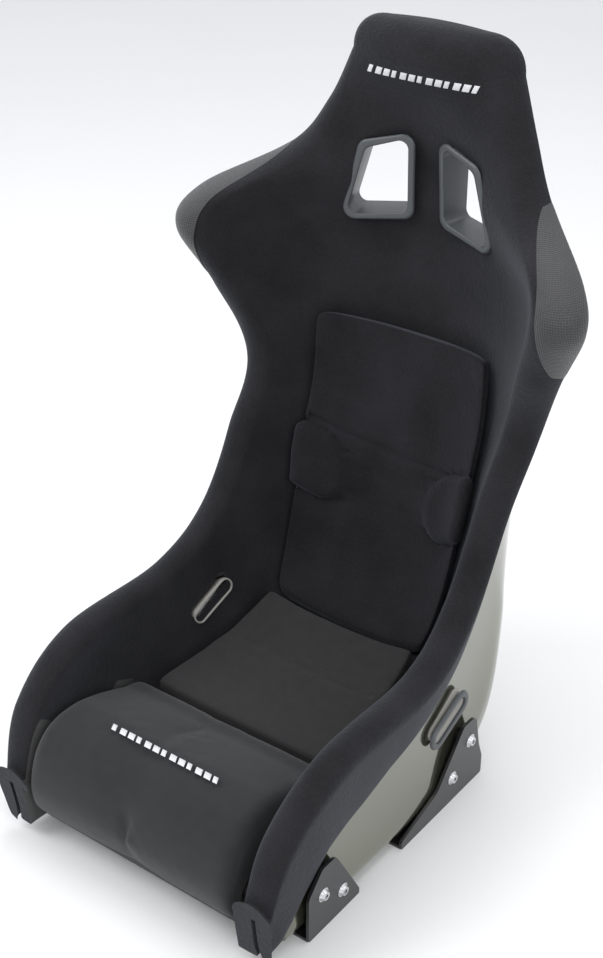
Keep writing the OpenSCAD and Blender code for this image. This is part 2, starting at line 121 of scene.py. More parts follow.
def bezier(p, q, r, s, f, square):
    """Cubic curve, blended towards one that keeps closer to its middle points."""
    f = np.asarray(f, float)[:, None]
    g = 1 - f
    plain = g**3 * p + 3 * f * g**2 * q + 3 * f * f * g * r + f**3 * s
    tight = g**5 * p + (5 * f * g**4 + 10 * f * f * g**3) * q
    tight = tight + (10 * f**3 * g * g + 5 * f**4 * g) * r + f**5 * s
    return plain * (1 - square) + tight * square


def smooth_step(x):
    """0 below 0 and 1 above 1, with a soft turn at both ends."""
    x = np.clip(x, 0, 1)
    return x * x * (3 - 2 * x)


def slant(s):
    a = math.radians(s[7])
    return np.array([math.cos(a), math.sin(a)])


def roll_centre(s):
    return np.array([s[4] - s[9], s[3] - s[9]])


def face(s, f):
    """Right half of the face that the occupant touches."""
    a = math.radians(s[7])
    end = roll_centre(s) + s[9] * np.array([-math.sin(a), math.cos(a)])
    return bezier(np.zeros(2), np.array([s[5], 0.0]), end - s[6] * slant(s), end, f, s[11])


def share(s, half):
    """Share of a side at which the face is half wide."""
    f = np.linspace(0, 1, 400)
    return float(np.interp(half, face(s, f)[:, 0], f))


def shell_curve(s, f, d):
    """Right half of the shell, d outside its inner surface."""
    f = np.asarray(f, float)
    d = np.broadcast_to(np.asarray(d, float), f.shape)
    wall = math.radians(s[7] + (88 - s[7]) * s[10])
    tangent = (s[6] + s[8] * s[10]) * np.array([math.cos(wall), math.sin(wall)])
    out = np.zeros((len(f), 2))
    for k in range(len(f)):
        e = roll_centre(s) + np.array([d[k], 0.0])
        low = -s[8] - d[k]
        b = np.array([min(s[5] + 1.4 * s[8], e[0] * (0.6 + 0.5 * s[10])), low])
        out[k] = bezier(np.array([0.0, low]), b, e - tangent, e, [f[k]], s[10])[0]
    return out


def roll(s, n, rise=0.0):
    a = np.radians(np.linspace(90 + s[7], 0, n))
    return roll_centre(s) + (s[9] + rise) * np.column_stack([np.cos(a), np.sin(a)])


def hem_share(t, s):
    """Where the cover ends on the outside: high beside the pan, and closed behind the head."""
    k = float(smooth_step((t - HEAD_CLOSE[0]) / HEAD_CLOSE[1]))
    return float(np.interp(t, HEM[:, 0], HEM[:, 1])) * (1 - k) + 0.01 * k


def wrap(s, end, n, rise=0.0):
    """Outside of the cover below the roll, tapering down to the hem."""
    last = SHELL_T + 0.5 + HEM_T
    f = np.linspace(1, end, n)
    d = last + (s[9] - last) * np.clip((f - end) / (1 - end), 0, 1) ** 0.8 + rise
    return shell_curve(s, f, d)


# ---------------------------------------------------------------------------
# Mesh helpers
# ---------------------------------------------------------------------------

def make_object(name, points, faces, material, uv=None):
    """A smooth mesh object from millimetre points, with an optional UV in metres for each point."""
    mesh = bpy.data.meshes.new(name)
    mesh.from_pydata((np.asarray(points) * MM).tolist(), [], [list(map(int, f)) for f in faces])
    mesh.update()
    if uv is not None:
        layer = mesh.uv_layers.new(name="UVMap")
        index = np.zeros(len(mesh.loops), np.int32)
        mesh.loops.foreach_get("vertex_index", index)
        layer.data.foreach_set("uv", np.asarray(uv, np.float32)[index].ravel())
    mesh.polygons.foreach_set("use_smooth", [True] * len(mesh.polygons))
    obj = bpy.data.objects.new(name, mesh)
    bpy.context.scene.collection.objects.link(obj)
    mesh.materials.append(material)
    return obj


def recalculate(obj):
    """Make the faces of a closed mesh point outwards."""
    bm = bmesh.new()
    bm.from_mesh(obj.data)
    bmesh.ops.recalc_face_normals(bm, faces=bm.faces)
    bm.to_mesh(obj.data)
    bm.free()


def ring_faces(m, n, closed=True):
    """Quads that join m rings of n points."""
    i, j = np.meshgrid(np.arange(m - 1), np.arange(n if closed else n - 1), indexing="ij")
    a = i * n + j
    b = i * n + (j + 1) % n
    return np.stack([a, b, b + n, a + n], -1).reshape(-1, 4).tolist()


def loft(name, rings, material, caps=True, uv=None):
    """Skin a list of closed rings of equal length."""
    m, n = len(rings), len(rings[0])
    faces = ring_faces(m, n)
    if caps:
        faces += [list(range(n))[::-1], list(range((m - 1) * n, m * n))]
    obj = make_object(name, np.concatenate(rings), faces, material, uv)
    recalculate(obj)
    return obj


def cut(obj, cutters):
    """Take closed cutter meshes out of obj."""
    for cutter in cutters:
        modifier = obj.modifiers.new("cut", "BOOLEAN")
        modifier.operation = "DIFFERENCE"
        modifier.solver = "MANIFOLD"
        modifier.object = cutter
        bpy.context.view_layer.objects.active = obj
        bpy.ops.object.modifier_apply(modifier=modifier.name)
    obj.data.polygons.foreach_set("use_smooth", [True] * len(obj.data.polygons))


def discard(objects):
    for obj in objects:
        bpy.data.objects.remove(obj)


def sharpen(obj, degrees):
    """Keep edges sharper than this angle crisp under smooth shading."""
    obj.data.set_sharp_from_angle(angle=math.radians(degrees))


def finish_piece(obj, replaces=()):
    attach(obj, "root")
    if replaces:
        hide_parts(*replaces)
    return obj


# ---------------------------------------------------------------------------
# Materials
# ---------------------------------------------------------------------------

class Nodes:
    """Short calls for building one material's node tree."""

    def __init__(self, name):
        self.material = bpy.data.materials.new(name)
        self.material.use_nodes = True
        self.tree = self.material.node_tree
        self.shader = self.tree.nodes["Principled BSDF"]

    def add(self, kind, inputs=None, **settings):
        node = self.tree.nodes.new(kind)
        for key, value in settings.items():
            setattr(node, key, value)
        for key, value in (inputs or {}).items():
            if isinstance(value, bpy.types.NodeSocket):
                self.tree.links.new(value, node.inputs[key])
            else:
                node.inputs[key].default_value = value
        return node

    def set(self, **values):
        for key, value in values.items():
            name = key.replace("_", " ")
            if isinstance(value, bpy.types.NodeSocket):
                self.tree.links.new(value, self.shader.inputs[name])
            else:
                self.shader.inputs[name].default_value = value

    def coordinates(self, kind="Object"):
        return self.add("ShaderNodeTexCoord").outputs[kind]

    def noise(self, vector, scale, detail=2.0, roughness=0.5):
        values = {"Vector": vector, "Scale": scale, "Detail": detail, "Roughness": roughness}
        return self.add("ShaderNodeTexNoise", values).outputs["Fac"]

    def wave(self, vector, scale, direction, profile="SIN", distortion=0.0):
        values = {"Vector": vector, "Scale": scale, "Distortion": distortion}
        return self.add("ShaderNodeTexWave", values, bands_direction=direction,
                        wave_profile=profile).outputs["Fac"]

    def math(self, operation, a, b=0.0):
        return self.add("ShaderNodeMath", {0: a, 1: b}, operation=operation).outputs[0]

    def mix(self, factor, a, b):
        node = self.add("ShaderNodeMix", data_type="RGBA")
        for key, value in ((0, factor), (6, a), (7, b)):
            if isinstance(value, bpy.types.NodeSocket):
                self.tree.links.new(value, node.inputs[key])
            else:
                node.inputs[key].default_value = value
        return node.outputs[2]

    def ramp(self, value, low, high):
        return self.add("ShaderNodeMapRange", {"Value": value, "From Min": low, "From Max": high}).outputs[0]

    def bump(self, height, strength, distance):
        values = {"Height": height, "Strength": strength, "Distance": distance}
        return self.add("ShaderNodeBump", values).outputs["Normal"]


def grey(value, blue=0.0):
    return (value, value, value * (1 + blue), 1.0)


def velour(name, base, sheen):
    """Brushed pile: a soft nap, patches of pile lying either way, and fine fibre noise."""
    n = Nodes(name)
    where = n.coordinates()
    patches = n.noise(where, 14, 3)
    fibres = n.noise(where, 480, 3, 0.7)
    tone = n.math("ADD", n.math("MULTIPLY", patches, 0.45), n.math("MULTIPLY", fibres, 0.55))
    tone = n.ramp(tone, 0.35, 0.65)
    dark = tuple(c * 0.55 for c in base[:3]) + (1.0,)
    light = tuple(c * 1.6 for c in base[:3]) + (1.0,)
    height = n.math("ADD", n.math("MULTIPLY", fibres, 1.0), n.noise(where, 180, 2))
    n.set(Base_Color=n.mix(tone, dark, light), Roughness=0.95, Sheen_Weight=sheen,
          Sheen_Roughness=0.45, Sheen_Tint=(0.80, 0.84, 0.95, 1.0),
          Normal=n.bump(height, 0.6, 0.0012))
    n.shader.inputs["Specular IOR Level"].default_value = 0.2
    return n.material


def weave(name, base, pitch, sheen):
    """Woven cloth in the piece's UV, which is in metres: ribs across and yarns along."""
    n = Nodes(name)
    uv = n.coordinates("UV")
    wobble = n.noise(uv, 60, 2)
    warp = n.wave(uv, 0.05 / pitch * 2 * math.pi * 1.0, "X")
    weft = n.wave(uv, 0.05 / pitch * 2 * math.pi * 0.8, "Y")
    cloth = n.math("MULTIPLY", warp, n.math("ADD", n.math("MULTIPLY", weft, 0.7), 0.3))
    fibres = n.noise(n.coordinates(), 1200, 2)
    tone = n.math("ADD", n.math("MULTIPLY", cloth, 0.55), n.math("MULTIPLY", fibres, 0.25))
    tone = n.math("ADD", tone, n.math("MULTIPLY", wobble, 0.3))
    dark = tuple(c * 0.55 for c in base[:3]) + (1.0,)
    light = tuple(c * 1.5 for c in base[:3]) + (1.0,)
    height = n.math("ADD", cloth, n.math("MULTIPLY", fibres, 0.3))
    n.set(Base_Color=n.mix(n.ramp(tone, 0.15, 0.9), dark, light), Roughness=0.9,
          Sheen_Weight=sheen, Sheen_Roughness=0.5, Normal=n.bump(height, 0.6, pitch * 0.3))
    n.shader.inputs["Specular IOR Level"].default_value = 0.25
    return n.material


def spacer_mesh(name, base):
    """Abrasion cloth: a knitted grid of small holes."""
    n = Nodes(name)
    uv = n.coordinates("UV")
    cells = n.add("ShaderNodeTexVoronoi", {"Vector": uv, "Scale": 330.0, "Randomness": 0.12})
    holes = n.ramp(cells.outputs["Distance"], 0.25, 0.55)
    tone = n.math("ADD", n.math("MULTIPLY", holes, 0.75), n.math("MULTIPLY", n.noise(uv, 40, 3), 0.4))
    dark = tuple(c * 0.35 for c in base[:3]) + (1.0,)
    light = tuple(c * 1.5 for c in base[:3]) + (1.0,)
    n.set(Base_Color=n.mix(tone, dark, light), Roughness=0.55, Sheen_Weight=0.25,
          Sheen_Roughness=0.4, Normal=n.bump(holes, 0.7, 0.0008))
    return n.material


def laminate(name):
    """Moulded laminate under clear gloss: olive grey with a faint orange peel."""
    n = Nodes(name)
    where = n.coordinates()
    peel = n.noise(where, 35, 2)
    tone = n.noise(where, 3, 2)
    scuffs = n.ramp(n.noise(where, 80, 5, 0.7), 0.6, 0.8)
    n.set(Base_Color=n.mix(tone, (0.150, 0.150, 0.112, 1), (0.210, 0.210, 0.160, 1)), Metallic=0.85,
          Roughness=n.math("ADD", n.math("MULTIPLY", scuffs, 0.14), 0.13),
          Coat_Weight=1.0, Coat_Roughness=0.04, Normal=n.bump(peel, 0.12, 0.002))
    return n.material


def moulded(name, base, roughness=0.42, grain=700, coat=0.0):
    """Fine-grained moulded plastic or powder coat, a little polished on its edges, which also get a painted
    highlight that lightens their colour.
    """
    n = Nodes(name)
    where = n.coordinates()
    fine = n.noise(where, grain, 3)
    broad = n.noise(where, 25, 3)
    # edge marks convex edges by pointiness: it lowers the roughness there as real polish, and lightens the
    # colour there as a painted highlight
    edge = n.ramp(n.add("ShaderNodeNewGeometry").outputs["Pointiness"], 0.52, 0.58)
    dark = tuple(c * 0.85 for c in base[:3]) + (1.0,)
    light = tuple(c * 1.25 for c in base[:3]) + (1.0,)
    # tone: random broad variation plus the painted edge highlight
    tone = n.math("ADD", n.math("MULTIPLY", broad, 0.6), n.math("MULTIPLY", edge, 0.8))
    rough = n.math("SUBTRACT", roughness + 0.06, n.math("MULTIPLY", edge, 0.12))
    n.set(Base_Color=n.mix(tone, dark, light), Roughness=rough, Coat_Weight=coat,
          Normal=n.bump(fine, 0.25, 0.0003))
    return n.material


def steel(name):
    """Bright zinc plating with fine turning marks and a few stains."""
    n = Nodes(name)
    where = n.coordinates()
    stains = n.ramp(n.noise(where, 160, 4), 0.45, 0.75)
    n.set(Base_Color=n.mix(stains, (0.72, 0.72, 0.74, 1), (0.50, 0.50, 0.52, 1)), Metallic=1.0,
          Roughness=n.math("ADD", n.math("MULTIPLY", stains, 0.2), 0.18),
          Normal=n.bump(n.noise(where, 1500, 2), 0.15, 0.0002))
    return n.material


def thread(name, base):
    """Satin-stitched thread: fine parallel ridges."""
    n = Nodes(name)
    uv = n.coordinates("UV")
    ridges = n.wave(uv, 0.05 / 0.0006 * 2 * math.pi, "X")
    dark = tuple(c * 0.75 for c in base[:3]) + (1.0,)
    n.set(Base_Color=n.mix(ridges, dark, base), Roughness=0.5, Sheen_Weight=0.3,
          Normal=n.bump(ridges, 0.5, 0.0004))
    return n.material


VELOUR = velour("cover_velour", (0.0125, 0.0122, 0.0140), 0.17)
BACK_VELOUR = velour("back_velour", (0.0115, 0.0110, 0.0130), 0.13)
SEAT_WEAVE = weave("seat_weave", (0.0250, 0.0240, 0.0250), 0.0016, 0.09)
THIGH_WEAVE = weave("thigh_weave", (0.0195, 0.0200, 0.0220), 0.0010, 0.17)
PATCH_MESH = spacer_mesh("patch_mesh", (0.030, 0.030, 0.032))
LAMINATE = laminate("shell_gloss")
BEZEL = moulded("bezel_plastic", (0.062, 0.068, 0.073, 1), 0.34)
SLEEVE = moulded("sleeve_plastic", (0.26, 0.25, 0.23, 1), 0.4)
RUBBER = moulded("edge_rubber", (0.015, 0.015, 0.015, 1), 0.7)
POWDER = moulded("mount_powder_coat", (0.010, 0.010, 0.011, 1), 0.34, 400, 0.2)
ZINC = steel("fastener_steel")
WHITE_THREAD = thread("embroidery_thread", (0.80, 0.80, 0.82, 1.0))
FOAM = moulded("foam", (0.06, 0.06, 0.06, 1), 0.9)

# ---------------------------------------------------------------------------
# Belt openings
# ---------------------------------------------------------------------------

SHOULDER_FRAME = [[-46, 64, 15], [26, 46, 17], [52, -62, 15], [-46, -50, 15]]
SHOULDER_AT = np.array([62, 575 - DEPTH / 2, 715])
SHOULDER_TURN = (94, -17)
SHOULDER_BACK = (41, -11.5)
SHOULDER_REACH = (-75, 45)
FLANGE = 9.0
WALL = 2.5
LAP_AT = np.array([203, 366 - DEPTH / 2, 134])
LAP_TILT = 24
LAP_LENGTH = 70
LAP_HEIGHT = 18
LAP_CLIMB = np.array([0, -15, 35])
LAP_DEPTH = 31
LAP_REACH = (-60, 0, 40)


def turn(x=0, z=0):
    rotation = Matrix.Rotation(math.radians(z), 3, "Z") @ Matrix.Rotation(math.radians(x), 3, "X")
    return np.array(rotation)


def rounded(corners, inset, arc=10, edge=6):
    """Points around an outline of [x, y, radius] corners, moved in by about inset."""
    moved = [(c[0] - math.copysign(inset, c[0]), c[1] - math.copysign(inset, c[1]),
              max(c[2] - inset / 2, 3)) for c in corners]
    arcs = []
    for i, (x, y, r) in enumerate(moved):
        p = np.array([x, y])
        u = np.array(moved[i - 1][:2]) - p
        v = np.array(moved[(i + 1) % len(moved)][:2]) - p
        u, v = u / np.linalg.norm(u), v / np.linalg.norm(v)
        half = math.acos(float(u @ v)) / 2
        bisector = (u + v) / np.linalg.norm(u + v)
        m = p + bisector * r / math.sin(half)
        start = p + u * r / math.tan(half) - m
        end = p + v * r / math.tan(half) - m
        k = np.linspace(0, 1, arc)[:, None]
        mix = start * (1 - k) + end * k
        arcs.append(m + r * mix / np.linalg.norm(mix, axis=1)[:, None])
    points = []
    for i, a in enumerate(arcs):
        b = arcs[(i + 1) % len(arcs)]
        k = np.linspace(0, 1, edge + 2)[1:-1, None]
        points += [a, a[-1] * (1 - k) + b[0] * k]
    return np.vstack(points)


def shoulder_ring(inset, z):
    """Outline of the left shoulder opening at a height in front of its frame's plane."""
    p = rounded(SHOULDER_FRAME, inset)
    local = np.column_stack([p, np.full(len(p), float(z))])
    return local @ turn(*SHOULDER_TURN).T + SHOULDER_AT


def shoulder_end(inset, back=0.0):
    """The same outline where the sleeve ends, in a plane behind the shell."""
    start = shoulder_ring(inset, 0)
    along = -turn(*SHOULDER_TURN)[:, 2]
    normal = turn(0, SHOULDER_BACK[1])[:, 1]
    at = SHOULDER_AT + np.array([0, SHOULDER_BACK[0] + back, 0])
    reach = ((at - start) @ normal) / float(along @ normal)
    return start + reach[:, None] * along


def lap_ring(grow, x, arc=14):
    """Outline of the left lap opening, at a distance outside the wall. Inside the wall it climbs."""
    half = (LAP_LENGTH - LAP_HEIGHT) / 2
    r = LAP_HEIGHT / 2 + grow
    front = np.radians(np.linspace(90, 270, arc))
    rear = np.radians(np.linspace(-90, 90, arc))
    y = np.concatenate([-half + r * np.cos(front), half + r * np.cos(rear)])
    z = np.concatenate([r * np.sin(front), r * np.sin(rear)])
    local = np.column_stack([np.full(len(y), float(x)), y, z])
    climb = LAP_CLIMB * max(-x, 0) / LAP_DEPTH
    return local @ turn(LAP_TILT).T + LAP_AT + climb


def on_face(ring, rise):
    """The ring moved across onto the face of the left bolster, rise inside it."""
    grid = []
    for t in np.linspace(2.5, 4.0, 60):
        s = station(t)
        grid.append(place(s, face(s, np.linspace(0.45, 1, 120))))
    grid = np.concatenate(grid)
    gap = np.linalg.norm(grid[None, :, 1:] - ring[:, None, 1:], axis=2)
    near = np.argsort(gap, axis=1)[:, :4]
    out = ring.copy()
    out[:, 0] = grid[near, 0].mean(axis=1) - rise
    return out


def on_side(rings, side):
    return [r * np.array([side, 1, 1]) for r in rings]


def tube(name, rings, material, side):
    """Closed band through rings that come back to the first one."""
    rings = on_side(rings, side)
    m, n = len(rings), len(rings[0])
    faces = ring_faces(m, n)
    faces += [[(m - 1) * n + j, (m - 1) * n + (j + 1) % n, (j + 1) % n, j] for j in range(n)]
    obj = make_object(name, np.concatenate(rings), faces, material)
    recalculate(obj)
    return obj


def opening_cutters(shoulder_inset, lap_grow):
    """Closed solids that pass through the cover or the shell at the four openings."""
    cutters = []
    for side in (1, -1):
        shoulder = on_side([shoulder_ring(shoulder_inset, z) for z in SHOULDER_REACH], side)
        cutters.append(loft("cutter", shoulder, FOAM))
        lap = on_side([lap_ring(lap_grow, x) for x in LAP_REACH], side)
        cutters.append(loft("cutter", lap, FOAM))
    return cutters


def shoulder_bezel(side, word):
    """Arched flange with a rolled inner lip, and the sleeve that goes through the shell."""
    outer = FLANGE - WALL
    arch = [(0.2 + 3.6 * (1 - math.cos(a)), 3.4 * math.sin(a)) for a in np.linspace(0.1, math.pi / 2, 7)]
    lip = [(FLANGE - 2.2 + 2.2 * math.sin(a), 3.4 - 2.4 * (1 - math.cos(a)))
           for a in np.linspace(0, math.pi / 2, 6)]
    rings = [shoulder_ring(outer, -1), shoulder_ring(0.6, -0.4)]
    rings += [shoulder_ring(d, z) for d, z in arch + lip]
    rings += [shoulder_ring(FLANGE, -14), shoulder_end(FLANGE, -1), shoulder_end(FLANGE - 0.6)]
    rings += [shoulder_end(outer + 0.6), shoulder_end(outer, -1)]
    obj = tube(word + "_shoulder_moulding", rings, BEZEL, side)
    sharpen(obj, 50)
    return finish_piece(obj, [word + "_shoulder_bezel"])


def lap_bezel(side, word):
    """Flat oval ring with a rounded outer edge around a lap opening."""
    edge = [(8.9 - 3 * (1 - math.cos(a)), 1 + 3.4 * math.sin(a)) for a in np.linspace(0, math.pi / 2, 7)]
    lip = [(1.6 - 1.6 * math.sin(a), 4.4 - 1.6 * (1 - math.cos(a))) for a in np.linspace(0, math.pi / 2, 6)]
    rings = [lap_ring(g, x) for g, x in edge + lip + [(0, 0.8), (8.9, 0.8)]]
    obj = tube(word + "_lap_moulding", rings, BEZEL, side)
    sharpen(obj, 50)
    return finish_piece(obj, [word + "_lap_bezel"])


def lap_sleeve(side, word):
    """Lining of a lap opening, rolled over at its inner end, which follows the face of the bolster."""
    rings = [lap_ring(0, x) for x in (0.6, -6, -14)]
    rings += [on_face(lap_ring(g, -LAP_DEPTH), rise) for g, rise in
              [(0, -2), (0, 0.6), (0.7, 1.6), (1.8, 1.6), (2.6, 0.8), (2.6, -3)]]
    rings += [lap_ring(2.4, x) for x in (-14, 0.6)]
    obj = tube(word + "_lap_lining", rings, SLEEVE, side)
    sharpen(obj, 50)
    return finish_piece(obj, [word + "_lap_sleeve"])


# ---------------------------------------------------------------------------
# Shell
# ---------------------------------------------------------------------------

def build_shell():
    """The laminate shell, with a moulded ledge along each side of the pan."""
    rings = []
    f = np.linspace(0, 1, 60)
    for t in np.linspace(SHELL_START, LAST, 210):
        s = station(t)
        ledge = 1.6 / (1 + np.exp(-(f - (0.50 + 0.05 * (t - 2.6))) * 160)) * math.exp(-((t - 2.7) / 1.5) ** 4)
        outer = shell_curve(s, f, SHELL_T)
        outer[:, 0] += ledge * (1 - f)
        inner = shell_curve(s, f[::-1], 0)
        half = np.vstack([outer, inner])
        left = half[1:-1][::-1] * np.array([-1, 1])
        rings.append(place(s, np.vstack([half, left])))
    shell = loft("seat_shell", rings, LAMINATE)
    cutters = opening_cutters(FLANGE - WALL - 0.4, WALL + 0.3)
    cut(shell, cutters)
    discard(cutters)
    sharpen(shell, 40)
    return finish_piece(shell, ["shell"])


# ---------------------------------------------------------------------------
# Cover
# ---------------------------------------------------------------------------

FACE_N, ROLL_N, WRAP_N, INNER_N = 56, 22, 20, 24

# Side view of the thigh cushion, [y, z]: its top and front, and its underside
THIGH_OUTER = [[203.5, 127], [176, 138], [150, 150], [125, 160], [100, 168], [84, 171], [58, 171],
               [34, 163], [14, 142], [3, 112], [0, 84], [6, 56]]
THIGH_INNER = [[18, 42], [30, 46], [33, 70], [60, 85], [100, 88], [150, 90], [208, 90.5]]
THIGH_HALF = 158
THIGH_SHIFT = 8    # the cushion sits this far towards the occupant's right
THIGH_GROW = 5


def cover_half(t, s):
    """Right half of the cover's outside: face, roll and wrap, ending at the hem."""
    end = hem_share(t, s)
    return np.vstack([face(s, np.linspace(0, 1, FACE_N)), roll(s, ROLL_N)[1:], wrap(s, end, WRAP_N)[1:]])


def cover_inside(t, s):
    """From the hem up the outside of the shell, over its rim and down inside to the centre."""
    end = hem_share(t, s)
    c = roll_centre(s)
    outside = shell_curve(s, np.linspace(end, 1, 12), SHELL_T + 0.8)
    rim = np.array([c + [SHELL_T + 0.8, 4], c + [-1.0, 4]])
    f = np.linspace(0.98, 0, INNER_N)
    inside = shell_curve(s, f, -1 - 2 * (1 - f))
    return np.vstack([outside, rim, inside])


def cover_ring(t):
    s = station(t)
    out = cover_half(t, s)
    back = cover_inside(t, s)
    right = np.vstack([out, back])
    left = right[1:-1][::-1] * np.array([-1, 1])
    return s, np.vstack([right, left]), len(out)


def build_cover():
    """One continuous velour cover over the foam, from the front of the bolsters to the head."""
    rings = []
    s, section, outer = cover_ring(0.0)
    edge = np.roll(section, -1, 0) - np.roll(section, 1, 0)
    normal = np.column_stack([edge[:, 1], -edge[:, 0]]) / np.linalg.norm(edge, axis=1)[:, None]
    weight = np.zeros(len(section))
    weight[:outer] = 1
    weight[-(outer - 1):] = 1
    for a in np.linspace(math.pi / 2, 0, 8)[:-1]:
        moved = section + normal * (-NOSE * (1 - math.cos(a)) * weight)[:, None]
        ring = place(s, moved)
        ring[:, 1] -= NOSE * math.sin(a)
        rings.append(ring)
    for t in np.linspace(0, LAST, 241):
        s, section, _ = cover_ring(t)
        rings.append(place(s, section))
    base = rings[-1]
    spine = np.column_stack([np.clip(base[:, 0] * 0.62, -CROWN_HALF, CROWN_HALF),
                             np.full(len(base), CROWN_Y), np.full(len(base), 0.0)])
    centre_z = base[0, 2]
    for a in np.linspace(0, math.pi / 2, 14)[1:]:
        k = math.cos(a) ** 0.75
        ring = spine + (base - spine) * k
        lift = CROWN_LIFT - CROWN_DROP * (spine[:, 0] / CROWN_HALF) ** 2
        ring[:, 2] = centre_z + lift * math.sin(a) ** 0.9
        rings.append(ring)
    cover = loft("cover", rings, VELOUR)
    cutters = opening_cutters(FLANGE - WALL - 0.4, WALL - 0.4)
    profile = np.array(THIGH_OUTER[:-1] + [[-20, 84], [-20, 0], [34, 0], [34, 76]] + THIGH_INNER[3:])
    wall = [np.column_stack([np.full(len(profile), x), profile[:, 0] - DEPTH / 2, profile[:, 1]])
            for x in (-THIGH_HALF - THIGH_GROW - THIGH_SHIFT, THIGH_HALF + 1)]
    cutters.append(loft("cutter", wall, FOAM))
    cut(cover, cutters)
    discard(cutters)
    sharpen(cover, 60)
    names = ["foam_base", "left_bolster", "right_bolster", "left_wing_pad", "right_wing_pad",
             "upper_back_pad", "headrest_pad", "head_crown"]
    return finish_piece(cover, names)


def build_patch(side, word):
    """Abrasion patch over the outer half of a wing, with a bound edge."""
    rings, uv = [], []
    span = np.linspace(*PATCH_SPAN, 80)
    for t in span:
        s = station(t)
        pad = min((t - span[0]) / PATCH_HEM, (span[-1] - t) / PATCH_HEM, 1.0)
        lift = 1.5 * math.sqrt(max(pad, 0.0)) - 0.4
        end = hem_share(t, s)
        k = (t - span[0]) / (span[-1] - span[0])
        lean = 0.82 - 0.60 * math.sin(k * math.pi) ** 0.55
        a = np.radians(np.linspace((90 + s[7]) * (1 - lean), 0, 22))
        arc = roll_centre(s) + (s[9] + lift) * np.column_stack([np.cos(a), np.sin(a)])
        half = np.vstack([arc, wrap(s, end + 0.02, 20, lift)[1:]])
        ring = place(s, half)
        length = np.concatenate([[0], np.cumsum(np.linalg.norm(np.diff(ring, axis=0), axis=1))])
        along = 0 if not rings else uv[-1][0, 1] * 1000 + np.linalg.norm(ring[15] - rings[-1][15])
        rings.append(ring)
        uv.append(np.column_stack([length, np.full(len(length), along)]) * MM)
    m, n = len(rings), len(rings[0])
    points = np.concatenate(rings) * np.array([side, 1, 1])
    faces = ring_faces(m, n, closed=False)
    if side < 0:
        faces = [f[::-1] for f in faces]
    obj = make_object(word + "_patch_cloth", points, faces, PATCH_MESH, np.concatenate(uv))
    return finish_piece(obj, [word + "_wing_patch"])


# ---------------------------------------------------------------------------
# Cushions
# ---------------------------------------------------------------------------

def superellipse(n, power):
    a = np.linspace(0, 2 * math.pi, n, endpoint=False)
    c, s = np.cos(a), np.sin(a)
    return np.sign(c) * np.abs(c) ** (2 / power), np.sign(s) * np.abs(s) ** (2 / power)


def tray_pillow(name, t0, t1, rise, material, rows=90, around=120, tight=9.0):
    """Rounded pad on the tray between two rows, with its parameters kept for later shaping."""
    u, v = superellipse(around, 5.0)
    rings, params = [], []
    for k in np.linspace(-1, 1, rows):
        k = math.sin(k * math.pi / 2) * 0.5 + k * 0.5
        close = (1 - min(abs(k), 0.9995) ** (2 * tight)) ** (1 / tight)
        t = t0 + (t1 - t0) * (k + 1) / 2
        s = station(t)
        half = float(np.interp(t, CUSHION_HALF[:, 0], CUSHION_HALF[:, 1])) + 2.5
        edge = share(s, half)
        f = np.abs(u) * edge * (0.55 + 0.45 * close)
        p = face(s, f)
        p[:, 0] *= np.sign(u + 1e-9)
        middle = rise * 0.5
        crown = 1 - 0.16 * np.abs(u) ** 4
        p[:, 1] += 0.6 + middle + middle * v * close * np.where(v > 0, crown, 0.98)
        rings.append(place(s, p))
        params.append(np.column_stack([np.full(around, t), p[:, 0], v]))
    uv = np.concatenate([np.column_stack([p[:, 1], np.full(around, i)]) for i, p in enumerate(params)])
    centre = np.array([r[around // 4] for r in rings])
    along = np.concatenate([[0], np.cumsum(np.linalg.norm(np.diff(centre, axis=0), axis=1))])
    uv[:, 1] = np.repeat(along, around)
    obj = loft(name, rings, material, uv=uv * MM)
    return obj, np.concatenate(params)


def inflate(obj, pressure, cap, frames=12, stiffness=60.0):
    """Blow the piece up with a short cloth simulation, and cap how far its points move."""
    scene = bpy.context.scene
    rest = np.array([v.co for v in obj.data.vertices])
    cloth = obj.modifiers.new("cloth", "CLOTH")
    cloth.settings.use_pressure = True
    cloth.settings.uniform_pressure_force = pressure
    cloth.settings.tension_stiffness = stiffness
    cloth.settings.compression_stiffness = stiffness
    cloth.settings.bending_stiffness = 20.0
    cloth.settings.effector_weights.gravity = 0
    cloth.collision_settings.use_collision = False
    cloth.point_cache.frame_start = 1
    cloth.point_cache.frame_end = frames
    for number in range(1, frames + 1):
        scene.frame_set(number)
    depsgraph = bpy.context.evaluated_depsgraph_get()
    moved = np.array([v.co for v in obj.evaluated_get(depsgraph).data.vertices])
    obj.modifiers.remove(cloth)
    scene.frame_set(1)
    move = moved - rest
    length = np.linalg.norm(move, axis=1)
    scale = np.where(length > cap, cap / np.maximum(length, 1e-9), 1.0)
    obj.data.vertices.foreach_set("co", (rest + move * scale[:, None]).ravel())
    smooth = obj.modifiers.new("smooth", "SMOOTH")
    smooth.factor = 0.5
    smooth.iterations = 6
    bpy.context.view_layer.objects.active = obj
    bpy.ops.object.modifier_apply(modifier=smooth.name)
    obj.data.update()


def push(obj, amount):
    """Move each vertex along its normal by amount, in millimetres."""
    normals = np.array([v.normal for v in obj.data.vertices])
    co = np.array([v.co for v in obj.data.vertices])
    obj.data.vertices.foreach_set("co", (co + normals * (amount * MM)[:, None]).ravel())
    obj.data.update()


def groove(distance, width):
    return np.exp(-(distance / width) ** 2)


LOBE_T = 5.25
LOBE_HALF_T = 0.36
ROW_LENGTH = 150   # about one row of the back, in millimetres


def lobe_distance(t, x):
    """Signed distance in millimetres to the edge of the nearer lumbar lobe, positive inside."""
    k = (t - LOBE_T) / LOBE_HALF_T
    reach = np.sqrt(np.clip(1 - k * k, 0, 1))
    inner = 118 - 62 * reach
    across = np.abs(x) - inner
    along = (1 - np.abs(k)) * LOBE_HALF_T * ROW_LENGTH
    return np.minimum(across * 0.8, along)


